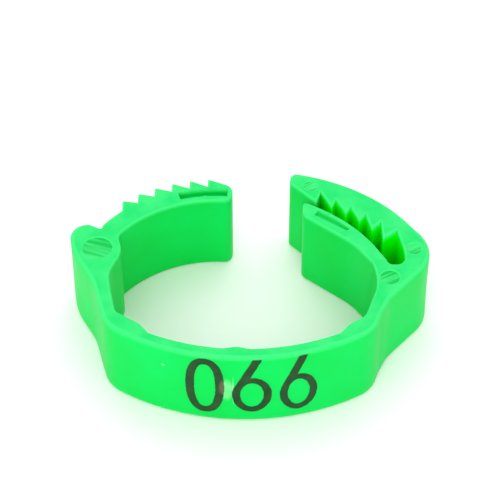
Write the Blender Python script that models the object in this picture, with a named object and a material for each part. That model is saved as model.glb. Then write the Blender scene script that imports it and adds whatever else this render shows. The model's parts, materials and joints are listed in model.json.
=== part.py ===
"""A poultry leg band: a curved number plate, two bending necks and a ratchet closure.

The plan view is drawn in millimetres with +X to the right and +Y away from the number plate, then raised
to the band's height. Lengths become metres when a piece is made. The underside is at Z = 0.
"""
import math

import bmesh
import bpy

MM = 0.001

# Overall sizes, in millimetres
BAND_HEIGHT = 9.4
NECK_SPAN = 27.7            # between the bending lines of the two necks
NECK_PLACE = -3.5           # where those lines cross the plan, along Y

# Number plate
PLATE_RADIUS = 23.5         # its outer face
PLATE_WALL = 1.45
PLATE_DEPTH = 7.42          # from the necks' bending lines forward to the plate's outer face
PLATE_SHIFT = 0.3           # the plate's middle, to the right of the middle between the necks
MIDDLE_PAD_RISE = 0.3       # a low pad behind the middle of the plate
MIDDLE_PAD_PLACE = -0.5
MIDDLE_PAD_HALF_WIDTH = 1.6
SIDE_PAD_RISE = 0.7         # a thicker stretch behind each end of the plate
SIDE_PAD_START = 4.15       # inwards from the bending lines
SIDE_PAD_TOP = 3.2
PLATE_CORNER = 1.5
PAD_ROUND = 0.4
FOLD_ROUND = 0.35           # where each neck meets the plate's inner face

# Necks: strips that bend
NECK_WALL = 1.5
LEFT_NECK_LEAN = 16.0       # degrees outwards from straight back
RIGHT_NECK_LEAN = 18.5
LEFT_NECK_LENGTH = 3.4      # from the bending line to the knuckle
RIGHT_NECK_LENGTH = 1.6     # from the bending line to the clasp root
LEFT_NECK_CURL = 0.24       # how far the left strip curls in at the knuckle
LEFT_NECK_FLARE = 0.12      # how much each neck widens on each side where it ends
RIGHT_NECK_FLARE = 0.25

# Left knuckle, placed from the left bending line
KNUCKLE_CAP = (-2.62, 10.55)
KNUCKLE_CAP_RADIUS = 1.78
KNUCKLE_CAP_ANGLES = (85, 185)
KNUCKLE_NOTCH = (4.5, -0.2)         # degrees past the tongue's root, and outwards from its tooth roots
KNUCKLE_NOTCH_ROUND = 0.15
KNUCKLE_SHOULDER = (-4.0, 7.9)
KNUCKLE_SHOULDER_ROUND = 1.6
KNUCKLE_OUTER_WAIST = (1.2, 0.1)    # ahead and left of the neck's outer corner
KNUCKLE_OUTER_ROUND = 1.0
KNUCKLE_INNER_WAIST = (1.6, -0.35)  # ahead and left of the neck's inner corner
KNUCKLE_INNER_ROUND = 1.2
KNUCKLE_BULGE = (-2.5, 8.45)
KNUCKLE_BULGE_RADIUS = 3.6
KNUCKLE_BULGE_ANGLES = (-28, 22)
KNUCKLE_FOLD_TURN = 3               # degrees past the tongue's root
KNUCKLE_FOLD_ROUND = 0.3
KNUCKLE_MARK = (-1.4, 8.65)
KNUCKLE_MARK_RADIUS = 1.6

# Ratchet tongue, an arc placed from the left bending line
TONGUE_CENTRE = (11.06, 3.47)
TONGUE_INNER_RADIUS = 12.55
TONGUE_WALL = 2.4           # inner face to tooth root
TONGUE_TOOTH_HEIGHT = 1.2
TONGUE_TOOTH_COUNT = 6
TONGUE_PITCH = 2.0          # along the tooth crests
TONGUE_ROOT_ANGLE = 142.0   # where the tongue leaves the knuckle, in degrees about its centre
TONGUE_FIRST_TOOTH = 128.9
TONGUE_NOSE = 2.75          # from the last tooth to the end of the tongue
TONGUE_NOSE_ROUND = 1.0

# Clasp: root boss, jaw and guide tongue, placed from the right bending line
BOSS_CENTRE = (1.15, 8.22)
BOSS_RADIUS = 4.8
BOSS_START_ANGLE = -46
BOSS_END_ANGLE = 38
JAW_CENTRE = (-12.17, 1.2)
JAW_RADIUS = 19.7
JAW_WALL = 2.7              # outer face to tooth root, where it is thinnest
JAW_CREST_WALL = 3.8        # outer face to tooth crest
JAW_ROOT_LINE_ANGLE = 52.0  # the tooth roots lie on a straight line, square to this direction
JAW_TOOTH_COUNT = 6
JAW_PITCH = 1.96            # along the tooth roots
JAW_FIRST_TOOTH = 67.0      # the tooth at the mouth, in degrees about the jaw's centre
JAW_TOOTH_LEAN = 0.6        # degrees that a crest leans back from its root
JAW_START_ANGLE = 33
JAW_END_ANGLE = 79.0
JAW_TIP_ROUND = 0.8
JAW_LIP = 1.1               # how far the jaw's end reaches inwards, short of the tooth roots
JAW_LIP_ROUND = 0.5
JAW_FLEX_ANGLE = -5.0       # where the jaw bends, in degrees about the boss's centre
JAW_ROOT_WALL = 2.72
GUIDE_CENTRE = (-15.09, -0.03)
GUIDE_RADIUS = 17.74        # the guide tongue's face in the channel
GUIDE_WALL = 1.66
GUIDE_FLEX_ANGLE = 25.0     # where the guide tongue bends, in degrees about its centre
GUIDE_END_ANGLE = 63.9
GUIDE_TIP_WALL = 1.95       # the guide tongue thickens towards its tip
GUIDE_TIP_SLANT = 3.4       # degrees that the tip's inner corner is set back
GUIDE_TIP_ROUNDS = (0.75, 0.5)
GUIDE_BEND = (3.0, 1.2)     # ahead and left of its hinge, where its inner face turns
GUIDE_BEND_ROUND = 1.2
CHANNEL_END = (2.3, 7.15)
CHANNEL_END_RADIUS = 0.97
CHANNEL_END_ANGLES = (-5, -150)
LEG_WALL_RADIUS = 8.2       # the inner face of the clasp root
LEG_WALL_CENTRE = (-8.05, 4.0)

# Hollows in the top faces
MARK_DEPTH = 0.12           # ejector marks
SMALL_MARK_RADIUS = 0.8
ROOT_MARK_RADIUS = 1.05
ROOT_MARK = (1.55, 4.2)
BEND_MARK = (4.28, 8.53)
TIP_MARK = (-6.4, 18.38)
TONGUE_POCKET_DEPTH = 0.8
GUIDE_POCKET_DEPTH = 0.4
POCKET_RIM = 0.6            # plastic left beside a pocket
TONGUE_POCKET_WIDTH = 1.1
TONGUE_POCKET_ANGLES = (85.5, 106.5)
GUIDE_POCKET_WIDTHS = (0.25, 0.85)
GUIDE_POCKET_ANGLES = (42.4, 56.6)

# Printed figures on the plate's outer face
DIGIT_WIDTH = 4.0
DIGIT_HEIGHT = 7.8
ZERO_STROKE = 0.9
SIX_STROKE = 0.82
DIGIT_THICKNESS = 0.12
DIGIT_BOTTOM = 1.25
DIGIT_PLACES = (-4.1, 0.75, 5.55)   # along the face, from the plate's middle
SIX_BOWL_HEIGHT = 5.1
SIX_BOWL_ANGLES = (160, 460)
SIX_STEM_TOP = 1.0
SIX_STEM_WIDTH = 0.92       # across the cut top of the stem

# Fits
PRINT_GAP = 0.04            # under the figures
HINGE_PLAY = 0.07           # round the rounded end of a bending strip
SEAM = 0.05                 # between neighbouring pieces that don't move against each other
SEAT_HALF_ANGLE = 52.0      # how far a seat wraps round the strip's end, each way
LIP_SEAT_HALF_ANGLE = 66.0

ARC_CHORD = 0.7             # length of the straight steps along a wide arc
ARC_TURN = 18.0             # degrees turned by the steps along a tight one
CORNER_CHORDS = 4
OVAL_CHORDS = 28

# Finishes
GREEN = (0.02, 0.78, 0.2)
GREEN_ROUGHNESS = 0.35
DARK_PRINT = (0.04, 0.1, 0.02)
PRINT_ROUGHNESS = 0.7


def polar(centre, radius, angle):
    turn = math.radians(angle)
    return (centre[0] + radius * math.cos(turn), centre[1] + radius * math.sin(turn))


def arc(centre, radius, start, end):
    """Points along an arc, both ends included, in short straight steps."""
    length = abs(math.radians(end - start)) * radius
    steps = max(2, round(length / ARC_CHORD), round(abs(end - start) / ARC_TURN))
    return [polar(centre, radius, start + (end - start) * i / steps) for i in range(steps + 1)]


def ahead(origin, heading, forward, left=0.0):
    """The point so far forward and to the left of origin, for someone facing along heading."""
    turn = math.radians(heading)
    x = origin[0] + forward * math.cos(turn) - left * math.sin(turn)
    y = origin[1] + forward * math.sin(turn) + left * math.cos(turn)
    return (x, y)


def corner(point, reach):
    """A corner that soften() rounds, starting this far before and after it."""
    return (point[0], point[1], reach)


def walk(points, index, direction, distance):
    """Walk along a closed outline from a corner; return the point reached and the points passed."""
    passed = []
    here = points[index]
    while True:
        index = (index + direction) % len(points)
        there = points[index]
        step = math.dist(here[:2], there[:2])
        if step >= distance or len(there) == 3:
            share = min(distance / step, 0.5 if len(there) == 3 else 1.0)
            x = here[0] + (there[0] - here[0]) * share
            y = here[1] + (there[1] - here[1]) * share
            return (x, y), passed
        passed.append(index)
        distance -= step
        here = there


def soften(points):
    """Turn each corner() of a closed outline into a smooth curve."""
    dropped = set()
    curves = {}
    for index, point in enumerate(points):
        if len(point) < 3:
            continue
        start, before = walk(points, index, -1, point[2])
        end, after = walk(points, index, 1, point[2])
        dropped.update(before + after)
        curve = []
        for i in range(CORNER_CHORDS + 1):
            t = i / CORNER_CHORDS
            x = (1 - t) ** 2 * start[0] + 2 * t * (1 - t) * point[0] + t * t * end[0]
            y = (1 - t) ** 2 * start[1] + 2 * t * (1 - t) * point[1] + t * t * end[1]
            curve.append((x, y))
        curves[index] = curve
    outline = []
    for index, point in enumerate(points):
        if index in curves:
            outline.extend(curves[index])
        elif index not in dropped:
            outline.append(point)
    return outline


def circle_hit(point, heading, centre, radius):
    """Where the line through point along heading leaves the circle."""
    turn = math.radians(heading)
    across = (point[0] - centre[0], point[1] - centre[1])
    along = across[0] * math.cos(turn) + across[1] * math.sin(turn)
    apart = across[0] ** 2 + across[1] ** 2 - radius ** 2
    forward = -along + math.sqrt(along ** 2 - apart)
    return ahead(point, heading, forward)


# Places that several pieces share
LEFT_HINGE = (-NECK_SPAN / 2, NECK_PLACE)
RIGHT_HINGE = (NECK_SPAN / 2, NECK_PLACE)
LEFT_HEADING = 90 + LEFT_NECK_LEAN
RIGHT_HEADING = 90 - RIGHT_NECK_LEAN
PLATE_CENTRE = (PLATE_SHIFT, LEFT_HINGE[1] - PLATE_DEPTH + PLATE_RADIUS)


def from_left(offset):
    return (LEFT_HINGE[0] + offset[0], LEFT_HINGE[1] + offset[1])


def from_right(offset):
    return (RIGHT_HINGE[0] + offset[0], RIGHT_HINGE[1] + offset[1])


JAW_HEADING = JAW_FLEX_ANGLE + 90
JAW_HINGE = polar(from_right(BOSS_CENTRE), BOSS_RADIUS - JAW_ROOT_WALL / 2, JAW_FLEX_ANGLE)
GUIDE_HEADING = GUIDE_FLEX_ANGLE + 90
GUIDE_HINGE = polar(from_right(GUIDE_CENTRE), GUIDE_RADIUS - GUIDE_WALL / 2, GUIDE_FLEX_ANGLE)


def round_end(hinge, wall, heading):
    """The rounded end of a bending strip that leads away along heading, from its left side to its right."""
    return arc(hinge, wall / 2, heading + 90, heading + 270)


def seat(hinge, wall, heading, half_angle):
    """The hollow that the round end turns in, with its two lips, from right to left of heading."""
    radius = wall / 2 + HINGE_PLAY
    depth = radius * math.cos(math.radians(half_angle))
    hollow = arc(hinge, radius, heading + 180 + half_angle, heading + 180 - half_angle)
    left_lip = ahead(hinge, heading, -depth, wall / 2)
    right_lip = ahead(hinge, heading, -depth, -wall / 2)
    return [right_lip] + hollow + [left_lip]


def plate_outline():
    inner_radius = PLATE_RADIUS - PLATE_WALL
    half = NECK_WALL / 2
    right_outer = ahead(RIGHT_HINGE, RIGHT_HEADING, 0, -half)
    right_inner = ahead(RIGHT_HINGE, RIGHT_HEADING, 0, half)
    left_outer = ahead(LEFT_HINGE, LEFT_HEADING, 0, half)
    left_inner = ahead(LEFT_HINGE, LEFT_HEADING, 0, -half)
    right_corner = circle_hit(right_outer, RIGHT_HEADING + 180, PLATE_CENTRE, PLATE_RADIUS)
    left_corner = circle_hit(left_outer, LEFT_HEADING + 180, PLATE_CENTRE, PLATE_RADIUS)
    pad_radius = inner_radius - SIDE_PAD_RISE
    right_fold = circle_hit(right_inner, RIGHT_HEADING + 180, PLATE_CENTRE, pad_radius)
    left_fold = circle_hit(left_inner, LEFT_HEADING + 180, PLATE_CENTRE, pad_radius)

    def bearing(point):
        return math.degrees(math.atan2(point[1] - PLATE_CENTRE[1], point[0] - PLATE_CENTRE[0]))

    outer = arc(PLATE_CENTRE, PLATE_RADIUS, bearing(left_corner), bearing(right_corner))
    pad_start = math.degrees(math.asin((NECK_SPAN / 2 - SIDE_PAD_START) / inner_radius))
    pad_top = math.degrees(math.asin((NECK_SPAN / 2 - SIDE_PAD_TOP) / pad_radius))
    inner = arc(PLATE_CENTRE, inner_radius, 270 + pad_start, 270 - pad_start)
    padded = []
    for point in inner:
        share = min(1.0, abs(point[0] - MIDDLE_PAD_PLACE) / MIDDLE_PAD_HALF_WIDTH)
        rise = MIDDLE_PAD_RISE * 0.5 * (1 + math.cos(math.pi * share))
        padded.append(polar(PLATE_CENTRE, inner_radius - rise, bearing(point)))
    points = [corner(left_corner, PLATE_CORNER)] + outer[1:-1] + [corner(right_corner, PLATE_CORNER)]
    points += seat(RIGHT_HINGE, NECK_WALL, RIGHT_HEADING, SEAT_HALF_ANGLE)
    points += [corner(right_fold, FOLD_ROUND)]
    points += [corner(polar(PLATE_CENTRE, pad_radius, 270 + pad_top), PAD_ROUND)]
    points += padded
    points += [corner(polar(PLATE_CENTRE, pad_radius, 270 - pad_top), PAD_ROUND)]
    points += [corner(left_fold, FOLD_ROUND)]
    points += seat(LEFT_HINGE, NECK_WALL, LEFT_HEADING, SEAT_HALF_ANGLE)
    return soften(points)


def left_neck_end(gap):
    """The neck's two corners at the knuckle, outer then inner, drawn back by gap."""
    forward = LEFT_NECK_LENGTH - gap
    half = NECK_WALL / 2 + LEFT_NECK_FLARE
    outer = ahead(LEFT_HINGE, LEFT_HEADING, forward, half - LEFT_NECK_CURL)
    inner = ahead(LEFT_HINGE, LEFT_HEADING, forward, -half - LEFT_NECK_CURL)
    return outer, inner


def left_neck_outline():
    outer, inner = left_neck_end(SEAM / 2)
    return round_end(LEFT_HINGE, NECK_WALL, LEFT_HEADING) + [inner, outer]


def tongue_line(angle, radius):
    return polar(from_left(TONGUE_CENTRE), radius, angle)


def knuckle_outline():
    cap = from_left(KNUCKLE_CAP)
    bulge = from_left(KNUCKLE_BULGE)
    outer, inner = left_neck_end(-SEAM / 2)
    seam_turn = math.degrees(SEAM / 2 / TONGUE_INNER_RADIUS)
    arm_angle = TONGUE_ROOT_ANGLE + seam_turn
    root_radius = TONGUE_INNER_RADIUS + TONGUE_WALL
    points = [tongue_line(arm_angle, root_radius)]
    notch = tongue_line(TONGUE_ROOT_ANGLE + KNUCKLE_NOTCH[0], root_radius + KNUCKLE_NOTCH[1])
    points += [corner(notch, KNUCKLE_NOTCH_ROUND)]
    points += arc(cap, KNUCKLE_CAP_RADIUS, *KNUCKLE_CAP_ANGLES)
    points += [corner(from_left(KNUCKLE_SHOULDER), KNUCKLE_SHOULDER_ROUND)]
    points += [corner(ahead(outer, LEFT_HEADING, *KNUCKLE_OUTER_WAIST), KNUCKLE_OUTER_ROUND), outer, inner]
    points += [corner(ahead(inner, LEFT_HEADING, *KNUCKLE_INNER_WAIST), KNUCKLE_INNER_ROUND)]
    points += arc(bulge, KNUCKLE_BULGE_RADIUS, *KNUCKLE_BULGE_ANGLES)
    fold = tongue_line(TONGUE_ROOT_ANGLE + KNUCKLE_FOLD_TURN, TONGUE_INNER_RADIUS)
    points += [corner(fold, KNUCKLE_FOLD_ROUND)]
    points += [tongue_line(arm_angle, TONGUE_INNER_RADIUS)]
    return soften(points)


def tongue_outline():
    root_radius = TONGUE_INNER_RADIUS + TONGUE_WALL
    crest_radius = root_radius + TONGUE_TOOTH_HEIGHT
    step = math.degrees(TONGUE_PITCH / crest_radius)
    centre = from_left(TONGUE_CENTRE)
    seam_turn = math.degrees(SEAM / 2 / TONGUE_INNER_RADIUS)
    start = TONGUE_ROOT_ANGLE - seam_turn
    last_tooth = TONGUE_FIRST_TOOTH - step * (TONGUE_TOOTH_COUNT - 1)
    end = last_tooth - math.degrees(TONGUE_NOSE / root_radius)
    crests = [tongue_line(TONGUE_FIRST_TOOTH - step * i, crest_radius) for i in range(TONGUE_TOOTH_COUNT)]
    first_root = math.degrees(math.acos((crests[0][0] - centre[0]) / root_radius))
    points = arc(centre, TONGUE_INNER_RADIUS, start, end)[:-1]
    points += [corner(tongue_line(end, TONGUE_INNER_RADIUS), TONGUE_NOSE_ROUND)]
    points += [corner(tongue_line(end, root_radius), TONGUE_NOSE_ROUND)]
    for crest in reversed(crests):
        rise = math.sqrt(root_radius ** 2 - (crest[0] - centre[0]) ** 2)
        points += [crest, (crest[0], centre[1] + rise)]
    points += arc(centre, root_radius, first_root, start)[1:]
    return soften(points)


def right_neck_end(gap):
    """The neck's two corners at the clasp root, outer then inner, drawn back by gap."""
    forward = RIGHT_NECK_LENGTH - gap
    half = NECK_WALL / 2
    outer = ahead(RIGHT_HINGE, RIGHT_HEADING, forward, -half - RIGHT_NECK_FLARE)
    inner = ahead(RIGHT_HINGE, RIGHT_HEADING, forward, half)
    return outer, inner


def right_neck_outline():
    outer, inner = right_neck_end(SEAM / 2)
    return round_end(RIGHT_HINGE, NECK_WALL, RIGHT_HEADING) + [outer, inner]


def clasp_root_outline():
    boss = from_right(BOSS_CENTRE)
    channel = from_right(CHANNEL_END)
    leg_wall = from_right(LEG_WALL_CENTRE)
    outer, inner = right_neck_end(-SEAM / 2)
    jaw_seat = seat(JAW_HINGE, JAW_ROOT_WALL, JAW_HEADING, LIP_SEAT_HALF_ANGLE)
    guide_seat = seat(GUIDE_HINGE, GUIDE_WALL, GUIDE_HEADING, LIP_SEAT_HALF_ANGLE)
    boss_end = math.degrees(math.atan2(jaw_seat[0][1] - boss[1], jaw_seat[0][0] - boss[0]))
    wall_start = math.degrees(math.atan2(guide_seat[-1][1] - leg_wall[1], guide_seat[-1][0] - leg_wall[0]))
    wall_end = math.degrees(math.atan2(inner[1] - leg_wall[1], inner[0] - leg_wall[0]))
    points = [outer]
    points += arc(boss, BOSS_RADIUS, BOSS_START_ANGLE, boss_end)[:-1]
    points += jaw_seat
    points += arc(channel, CHANNEL_END_RADIUS, *CHANNEL_END_ANGLES)
    points += guide_seat
    points += arc(leg_wall, LEG_WALL_RADIUS, wall_start, wall_end)[1:-1]
    points += [inner]
    return soften(points)


def jaw_outline():
    boss = from_right(BOSS_CENTRE)
    centre = from_right(JAW_CENTRE)
    thin_radius = JAW_RADIUS - JAW_WALL
    crest_radius = JAW_RADIUS - JAW_CREST_WALL
    step = math.degrees(JAW_PITCH / thin_radius)
    points = round_end(JAW_HINGE, JAW_ROOT_WALL, JAW_HEADING)
    points += arc(boss, BOSS_RADIUS, JAW_FLEX_ANGLE, BOSS_END_ANGLE)[1:]
    points += arc(centre, JAW_RADIUS, JAW_START_ANGLE, JAW_END_ANGLE)[:-1]
    points += [corner(polar(centre, JAW_RADIUS, JAW_END_ANGLE), JAW_TIP_ROUND)]
    points += [corner(polar(centre, thin_radius + JAW_LIP, JAW_END_ANGLE), JAW_LIP_ROUND)]
    for i in range(JAW_TOOTH_COUNT):
        angle = JAW_FIRST_TOOTH - step * i
        root_radius = thin_radius / math.cos(math.radians(angle - JAW_ROOT_LINE_ANGLE))
        points += [polar(centre, crest_radius, angle - JAW_TOOTH_LEAN), polar(centre, root_radius, angle)]
    return soften(points)


def guide_outline():
    centre = from_right(GUIDE_CENTRE)
    face = arc(centre, GUIDE_RADIUS, GUIDE_FLEX_ANGLE, GUIDE_END_ANGLE)
    points = round_end(GUIDE_HINGE, GUIDE_WALL, GUIDE_HEADING)
    points += face[1:-1]
    inner_tip = polar(centre, GUIDE_RADIUS - GUIDE_TIP_WALL, GUIDE_END_ANGLE - GUIDE_TIP_SLANT)
    points += [corner(face[-1], GUIDE_TIP_ROUNDS[0]), corner(inner_tip, GUIDE_TIP_ROUNDS[1])]
    points += [corner(ahead(GUIDE_HINGE, GUIDE_HEADING, *GUIDE_BEND), GUIDE_BEND_ROUND)]
    return soften(points)


def ellipse(centre, half_width, half_height, start, end):
    points = []
    for i in range(OVAL_CHORDS + 1):
        turn = math.radians(start + (end - start) * i / OVAL_CHORDS)
        points.append((centre[0] + half_width * math.cos(turn), centre[1] + half_height * math.sin(turn)))
    return points


def zero_loops():
    """The outline and the hole of a nought, about its own middle."""
    width = DIGIT_WIDTH / 2
    height = DIGIT_HEIGHT / 2
    outside = ellipse((0, 0), width, height, 0, 360)[:-1]
    inside = ellipse((0, 0), width - ZERO_STROKE, height - ZERO_STROKE, 0, 360)[:-1]
    return [outside, inside]


def six_loops():
    """A six: a round bowl with a straight stem that leans from its left side to the top."""
    width = DIGIT_WIDTH / 2
    bowl_height = SIX_BOWL_HEIGHT / 2
    bowl = (0, bowl_height - DIGIT_HEIGHT / 2)
    top_right = (SIX_STEM_TOP, DIGIT_HEIGHT / 2)
    top_left = (SIX_STEM_TOP - SIX_STEM_WIDTH, DIGIT_HEIGHT / 2)
    outside = [top_left] + ellipse(bowl, width, bowl_height, *SIX_BOWL_ANGLES) + [top_right]
    inside = ellipse(bowl, width - SIX_STROKE, bowl_height - SIX_STROKE, 0, 360)[:-1]
    return [outside, inside]


def tongue_pocket_outline():
    centre = from_left(TONGUE_CENTRE)
    near = TONGUE_INNER_RADIUS + POCKET_RIM
    far = near + TONGUE_POCKET_WIDTH
    start, end = TONGUE_POCKET_ANGLES
    return arc(centre, near, start, end) + arc(centre, far, end, start)


def guide_pocket_outline():
    centre = from_right(GUIDE_CENTRE)
    far = GUIDE_RADIUS - POCKET_RIM
    start, end = GUIDE_POCKET_ANGLES
    deep = polar(centre, far - GUIDE_POCKET_WIDTHS[0], start)
    wide = polar(centre, far - GUIDE_POCKET_WIDTHS[1], end)
    return arc(centre, far, start, end) + [wide, deep]


# --- Making the solids ---

def middle_of_band():
    """The middle of the plan's bounding box, which becomes the origin."""
    outlines = [plate_outline(), knuckle_outline(), tongue_outline(), clasp_root_outline(), jaw_outline()]
    xs = [point[0] for outline in outlines for point in outline]
    ys = [point[1] for outline in outlines for point in outline]
    return ((min(xs) + max(xs)) / 2, (min(ys) + max(ys)) / 2)


MIDDLE = middle_of_band()


def clear_scene():
    for obj in list(bpy.data.objects):
        bpy.data.objects.remove(obj, do_unlink=True)


def new_collection(name):
    collection = bpy.data.collections.new(name)
    bpy.context.scene.collection.children.link(collection)
    return collection


def plastic(name, colour, roughness):
    material = bpy.data.materials.new(name)
    material.use_nodes = True
    shader = material.node_tree.nodes["Principled BSDF"]
    shader.inputs["Base Color"].default_value = (*colour, 1.0)
    shader.inputs["Roughness"].default_value = roughness
    shader.inputs["Metallic"].default_value = 0.0
    return material


def flat_mesh(name, loops, thickness):
    """A closed mesh of the flat outline, thickness in millimetres, lying about Z = 0."""
    curve = bpy.data.curves.new(name, "CURVE")
    curve.dimensions = "2D"
    curve.fill_mode = "BOTH"
    curve.extrude = thickness / 2 * MM
    for loop in loops:
        spline = curve.splines.new("POLY")
        spline.points.add(len(loop) - 1)
        for target, point in zip(spline.points, loop):
            target.co = (point[0] * MM, point[1] * MM, 0, 1)
        spline.use_cyclic_u = True
    holder = bpy.data.objects.new(name, curve)
    bpy.context.scene.collection.objects.link(holder)
    depsgraph = bpy.context.evaluated_depsgraph_get()
    mesh = bpy.data.meshes.new_from_object(holder.evaluated_get(depsgraph))
    bpy.data.objects.remove(holder, do_unlink=True)
    bm = bmesh.new()
    bm.from_mesh(mesh)
    bmesh.ops.remove_doubles(bm, verts=bm.verts, dist=1e-7)
    bmesh.ops.recalc_face_normals(bm, faces=bm.faces)
    bm.to_mesh(mesh)
    bm.free()
    mesh.name = name
    return mesh


def standing(name, outline, pivot, collection, bottom=0.0, top=BAND_HEIGHT):
    """An upright piece with this plan outline, with its origin on the vertical line through pivot."""
    local = [(x - pivot[0], y - pivot[1]) for x, y in outline]
    obj = bpy.data.objects.new(name, flat_mesh(name, [local], top - bottom))
    obj.location.x = (pivot[0] - MIDDLE[0]) * MM
    obj.location.y = (pivot[1] - MIDDLE[1]) * MM
    obj.location.z = (bottom + top) / 2 * MM
    collection.objects.link(obj)
    return obj


def cut(obj, name, outline, depth, cutters):
    """Sink a hollow with this outline into the top of a piece."""
    cutter = standing(name, outline, MIDDLE, cutters, BAND_HEIGHT - depth, BAND_HEIGHT + depth)
    cutter.hide_render = True
    cutter.display_type = "WIRE"
    modifier = obj.modifiers.new(name, "BOOLEAN")
    modifier.operation = "DIFFERENCE"
    modifier.object = cutter


def cut_mark(obj, name, centre, radius, cutters):
    """Sink an ejector mark into the top of a piece."""
    cut(obj, name, arc(centre, radius, 0, 360)[:-1], MARK_DEPTH, cutters)


def digit(name, loops, place, collection):
    """A figure printed on the plate: a thin layer bent round the plate's outer face."""
    mesh = flat_mesh(name, loops, DIGIT_THICKNESS)
    middle_height = DIGIT_BOTTOM + DIGIT_HEIGHT / 2
    radius = PLATE_RADIUS + PRINT_GAP + DIGIT_THICKNESS / 2
    for vertex in mesh.vertices:
        across = place + vertex.co.x / MM
        x, y = polar(PLATE_CENTRE, radius + vertex.co.z / MM, 270 + math.degrees(across / PLATE_RADIUS))
        vertex.co = ((x - MIDDLE[0]) * MM, (y - MIDDLE[1]) * MM, middle_height * MM + vertex.co.y)
    obj = bpy.data.objects.new(name, mesh)
    collection.objects.link(obj)
    return obj


def build():
    clear_scene()
    band = new_collection("leg_band")
    cutters = new_collection("cutters")

    plate = standing("number_plate", plate_outline(), PLATE_CENTRE, band)
    left_neck = standing("left_neck", left_neck_outline(), LEFT_HINGE, band)
    knuckle = standing("left_knuckle", knuckle_outline(), LEFT_HINGE, band)
    tongue = standing("ratchet_tongue", tongue_outline(), LEFT_HINGE, band)
    right_neck = standing("right_neck", right_neck_outline(), RIGHT_HINGE, band)
    root = standing("clasp_root", clasp_root_outline(), RIGHT_HINGE, band)
    jaw = standing("toothed_jaw", jaw_outline(), JAW_HINGE, band)
    guide = standing("guide_tongue", guide_outline(), GUIDE_HINGE, band)

    cut_mark(knuckle, "knuckle_mark", from_left(KNUCKLE_MARK), KNUCKLE_MARK_RADIUS, cutters)
    cut_mark(root, "root_mark", from_right(ROOT_MARK), ROOT_MARK_RADIUS, cutters)
    cut_mark(jaw, "bend_mark", from_right(BEND_MARK), SMALL_MARK_RADIUS, cutters)
    cut_mark(jaw, "tip_mark", from_right(TIP_MARK), SMALL_MARK_RADIUS, cutters)
    cut(tongue, "tongue_pocket", tongue_pocket_outline(), TONGUE_POCKET_DEPTH, cutters)
    cut(guide, "guide_pocket", guide_pocket_outline(), GUIDE_POCKET_DEPTH, cutters)

    digits = [
        digit("digit_0", zero_loops(), DIGIT_PLACES[0], band),
        digit("digit_6_centre", six_loops(), DIGIT_PLACES[1], band),
        digit("digit_6_right", six_loops(), DIGIT_PLACES[2], band),
    ]
    for obj in (plate, left_neck, knuckle, tongue, right_neck, root, jaw, guide):
        obj.data.materials.append(plastic(obj.name, GREEN, GREEN_ROUGHNESS))
    for obj in digits:
        obj.data.materials.append(plastic(obj.name, DARK_PRINT, PRINT_ROUGHNESS))


build()
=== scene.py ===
"""A poultry leg band, moulded in one piece from green plastic, lying on a pale floor.

Plan outlines are in millimetres in the row frame, with +Y away from the number plate.
"""
import json
import math

import bmesh
import bpy
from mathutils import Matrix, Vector, noise


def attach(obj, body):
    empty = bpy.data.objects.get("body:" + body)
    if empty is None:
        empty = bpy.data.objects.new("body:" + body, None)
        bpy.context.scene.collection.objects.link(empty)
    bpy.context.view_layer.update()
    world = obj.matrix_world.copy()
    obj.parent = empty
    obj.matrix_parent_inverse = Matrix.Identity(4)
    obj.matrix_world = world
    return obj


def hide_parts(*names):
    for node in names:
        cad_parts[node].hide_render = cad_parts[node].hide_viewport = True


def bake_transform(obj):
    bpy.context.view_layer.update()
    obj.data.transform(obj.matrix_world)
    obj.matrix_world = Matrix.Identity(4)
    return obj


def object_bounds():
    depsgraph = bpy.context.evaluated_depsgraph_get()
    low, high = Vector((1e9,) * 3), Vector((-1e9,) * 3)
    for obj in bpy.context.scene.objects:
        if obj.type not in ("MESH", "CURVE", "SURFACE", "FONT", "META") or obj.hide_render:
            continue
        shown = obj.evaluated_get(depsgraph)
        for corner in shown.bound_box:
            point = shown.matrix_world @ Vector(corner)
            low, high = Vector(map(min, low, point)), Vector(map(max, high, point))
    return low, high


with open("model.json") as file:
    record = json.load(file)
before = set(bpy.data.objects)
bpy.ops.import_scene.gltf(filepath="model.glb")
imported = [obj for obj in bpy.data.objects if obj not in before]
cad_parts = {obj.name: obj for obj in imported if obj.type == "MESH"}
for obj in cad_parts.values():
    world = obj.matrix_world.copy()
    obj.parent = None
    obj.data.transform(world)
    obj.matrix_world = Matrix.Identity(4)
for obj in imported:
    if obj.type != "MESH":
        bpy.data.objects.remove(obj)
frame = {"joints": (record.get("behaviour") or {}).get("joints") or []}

cad_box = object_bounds()
MM = 0.001
HEIGHT = cad_box[1].z / MM

# Mould detail, in millimetres
OUTER_RIM = 0.5             # rounding of the rims that face outwards
INNER_RIM = 0.27            # rounding of the others
TOOTH_ROUND = 0.11          # rounding of the ratchet's crests and roots
RIM_STEPS = 5
RIM_FADE = 4.0              # over which a wide rim narrows to a tight one
SHARP_TURN = 0.5            # radians: gentler edges are left as they are
MARK_DEPTH = 0.12           # ejector marks
CUTTER_RISE = 0.5           # how far a cutter stands above the top faces
INK = 0.03                  # thickness of the print
INK_LIFT = 0.012            # of its middle, off the plate
INK_RAGGED = 0.045          # how far its edges wander
INK_WAVES = 2.4             # how quickly they wander
INK_STEP = 0.12
NOISE_APART = 9.0           # between the noise for one direction and for the other
WALL_LEVELS = 6             # rows of faces up a wall
WELD = 0.02                 # points nearer than this are one point
FLAT_LIMIT = 38             # degrees: a sharper edge is shaded as one
TINY = 1e-6                 # metres


def hinge(joint):
    """A joint's place in the plan."""
    for row in frame["joints"]:
        if row["name"] == joint:
            return (row["pos_m"][0] / MM, row["pos_m"][1] / MM)
    raise ValueError(joint)


LEFT = hinge("left_neck_bend")
RIGHT = hinge("right_neck_bend")
JAW = hinge("jaw_spread")
GUIDE = hinge("guide_spread")


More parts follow.
